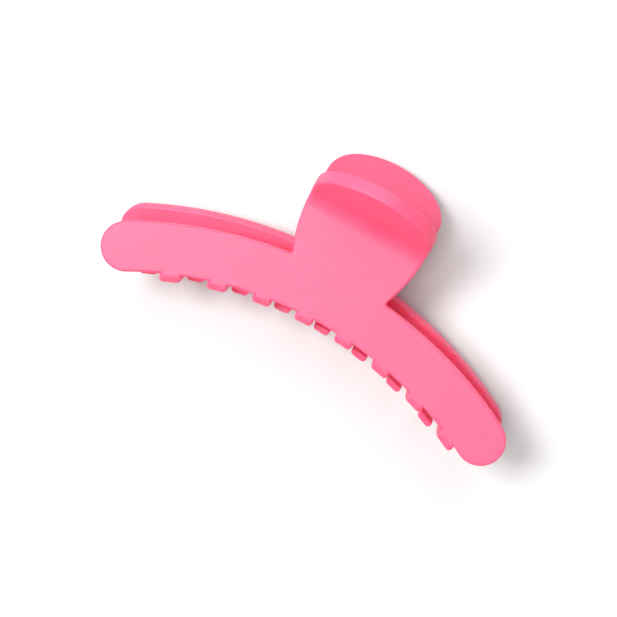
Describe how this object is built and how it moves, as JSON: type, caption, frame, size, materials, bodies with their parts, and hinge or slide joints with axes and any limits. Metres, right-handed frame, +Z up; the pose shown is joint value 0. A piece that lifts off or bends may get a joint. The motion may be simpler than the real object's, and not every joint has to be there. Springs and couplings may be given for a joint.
{
  "type": "claw clip",
  "caption": "Large crescent hair claw with two equal hinged jaws, curved interlocking teeth, flared thumb tabs and a coil spring on a steel pin.",
  "frame": {"origin": "centre of the bounding box's base, where the lying clip rests on its back jaw", "axes": "+X along the hinge pin and the clip's length, thumb tabs towards +Y, +Z up from the surface it lies on; the front jaw is on top"},
  "size_m": [0.1206, 0.0628, 0.0507],
  "materials": {
    "pink_plastic": "soft matte, bright pink all through",
    "spring_steel": "bright drawn wire and pin"
  },
  "bodies": {
    "back": {"back_jaw": "pink_plastic", "hinge_pin": "spring_steel", "torsion_spring": "spring_steel"},
    "front": {"front_jaw": "pink_plastic"}
  },
  "joints": [
    {"name": "jaw_hinge", "type": "hinge", "parent": "back", "child": "front", "pos_m": [0, 0.00299, 0.02116], "axis": [-1, 0, 0], "range_deg": [0, 52], "stiffness_Nm_per_rad": 0.19, "springref_deg": -25.78, "deforming": ["torsion_spring"]}
  ]
}
